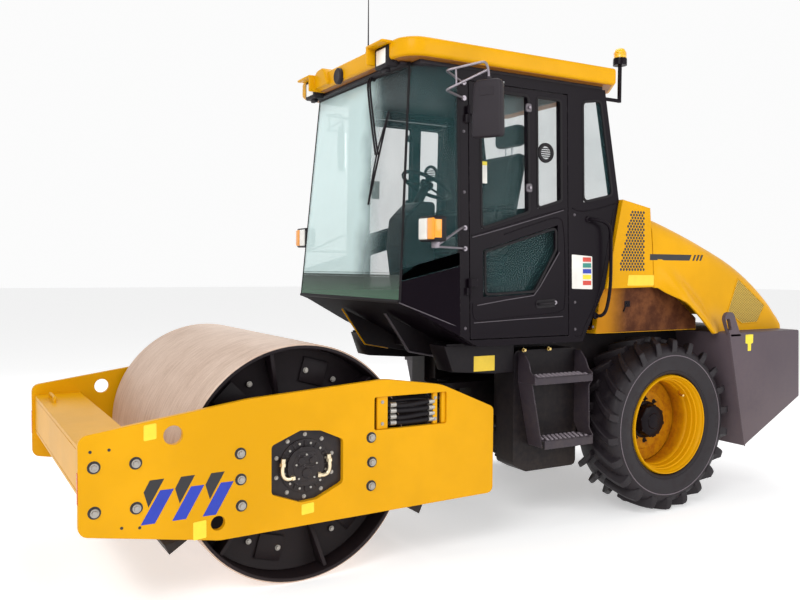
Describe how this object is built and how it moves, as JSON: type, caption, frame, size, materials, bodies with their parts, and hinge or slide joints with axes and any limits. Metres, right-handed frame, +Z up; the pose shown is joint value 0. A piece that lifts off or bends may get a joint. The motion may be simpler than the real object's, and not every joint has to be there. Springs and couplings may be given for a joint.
{
  "type": "single drum road roller",
  "caption": "Ride-on articulated soil roller: smooth vibrating drum in a yellow front frame, glazed black cab, sloping yellow hood, lugged rear tyres and rear counterweight.",
  "frame": {"origin": "on the floor under the middle of the whole machine's box", "axes": "+X to the machine's left, -Y towards the drum (forwards), +Z up"},
  "size_m": [2.0546, 5.002, 3.3403],
  "materials": {
    "yellow": "semi-gloss yellow machine paint",
    "black": "satin black paint",
    "grey": "satin dark grey paint",
    "drum_steel": "bare rolled steel with a thin bloom of rust",
    "rod_chrome": "hard chrome",
    "tyre": "black rubber",
    "glass": "green tinted safety glass",
    "plastic": "grained black plastic",
    "seat": "dark woven cloth",
    "amber": "amber lens",
    "hose": "braided hose"
  },
  "bodies": {
    "rear_frame": {"rear_chassis": "black", "axle_housing": "black", "counterweight": "grey", "engine_block": "grey", "fuel_tank": "black", "hydraulic_tank": "black", "step_left": "grey", "step_right": "grey", "cab_floor": "black", "cab_front_panel": "black", "cab_side_frame_left": "black", "cab_side_frame_right": "black", "cab_rear_panel": "black", "windscreen": "glass", "quarter_glass_left": "glass", "quarter_glass_right": "glass", "rear_side_glass_left": "glass", "rear_side_glass_right": "glass", "rear_window": "glass", "roof": "yellow", "head_lamp_left": "plastic", "head_lamp_right": "plastic", "mirror_left": "plastic", "mirror_right": "plastic", "beacon": "amber", "antenna": "plastic", "seat_base": "plastic", "seat_cushion": "seat", "seat_back": "seat", "steering_column": "plastic", "cowl_left": "yellow", "cowl_right": "yellow", "cowl_top": "yellow"},
    "centre_joint": {"centre_yoke": "grey"},
    "front_frame": {"front_side_plate_left": "yellow", "front_side_plate_right": "yellow", "front_cross_beam": "yellow", "rear_cross_beam": "black", "front_scraper": "black", "rear_scraper": "black", "drum_carrier_left": "black", "drum_carrier_right": "black", "drum_hose_1": "hose", "drum_hose_2": "hose"},
    "drum": {"drum": "drum_steel"},
    "hood": {"hood": "yellow"},
    "door_left": {"door_left": "black", "door_glass_left": "glass"},
    "wheel_left": {"tyre_left": "tyre", "rim_left": "yellow"},
    "steering_barrel_left": {"steering_barrel_left": "black"},
    "steering_rod_left": {"steering_rod_left": "rod_chrome"},
    "door_right": {"door_right": "black", "door_glass_right": "glass"},
    "wheel_right": {"tyre_right": "tyre", "rim_right": "yellow"},
    "steering_barrel_right": {"steering_barrel_right": "black"},
    "steering_rod_right": {"steering_rod_right": "rod_chrome"}
  },
  "joints": [
    {"name": "steering", "type": "hinge", "parent": "rear_frame", "child": "centre_joint", "pos_m": [0, -0.02, 0.6], "axis": [0, 0, 1], "range_deg": [-33, 33]},
    {"name": "frame_rocking", "type": "hinge", "parent": "centre_joint", "child": "front_frame", "pos_m": [0, -0.02, 0.6], "axis": [0, 1, 0], "range_deg": [-10, 10]},
    {"name": "drum_spin", "type": "hinge", "parent": "front_frame", "child": "drum", "pos_m": [0, -1.42, 0.61], "axis": [1, 0, 0], "continuous": true},
    {"name": "wheel_left_spin", "type": "hinge", "parent": "rear_frame", "child": "wheel_left", "pos_m": [0.685, 1.23, 0.575], "axis": [1, 0, 0], "continuous": true},
    {"name": "wheel_right_spin", "type": "hinge", "parent": "rear_frame", "child": "wheel_right", "pos_m": [-0.685, 1.23, 0.575], "axis": [1, 0, 0], "continuous": true},
    {"name": "barrel_left_swing", "type": "hinge", "parent": "rear_frame", "child": "steering_barrel_left", "pos_m": [0.3, 0.4, 0.6], "axis": [0, 0, 1], "range_deg": [-10.4, 10.4]},
    {"name": "rod_left_slide", "type": "slide", "parent": "steering_barrel_left", "child": "steering_rod_left", "axis": [-0.0624, -0.9981, 0], "range_m": [-0.1562, 0.1562]},
    {"name": "barrel_right_swing", "type": "hinge", "parent": "rear_frame", "child": "steering_barrel_right", "pos_m": [-0.3, 0.4, 0.6], "axis": [0, 0, 1], "range_deg": [-10.4, 10.4]},
    {"name": "rod_right_slide", "type": "slide", "parent": "steering_barrel_right", "child": "steering_rod_right", "axis": [0.0624, -0.9981, 0], "range_m": [-0.1562, 0.1562]},
    {"name": "door_left_hinge", "type": "hinge", "parent": "rear_frame", "child": "door_left", "pos_m": [0.76599, -0.329, 1.1505], "axis": [0.031, 0, -0.9995], "range_deg": [0, 75]},
    {"name": "door_right_hinge", "type": "hinge", "parent": "rear_frame", "child": "door_right", "pos_m": [-0.76599, -0.329, 1.1505], "axis": [0.031, 0, 0.9995], "range_deg": [0, 75]},
    {"name": "hood_hinge", "type": "hinge", "parent": "rear_frame", "child": "hood", "pos_m": [0, 1.138, 1.974], "axis": [1, 0, 0], "range_deg": [0, 50]}
  ],
  "couplings": [
    {"joint": "barrel_left_swing", "follows": "steering", "ratio": 0.30015},
    {"joint": "rod_left_slide", "follows": "steering", "m_per_rad": -0.26778},
    {"joint": "barrel_right_swing", "follows": "steering", "ratio": 0.30015},
    {"joint": "rod_right_slide", "follows": "steering", "m_per_rad": 0.26778}
  ]
}
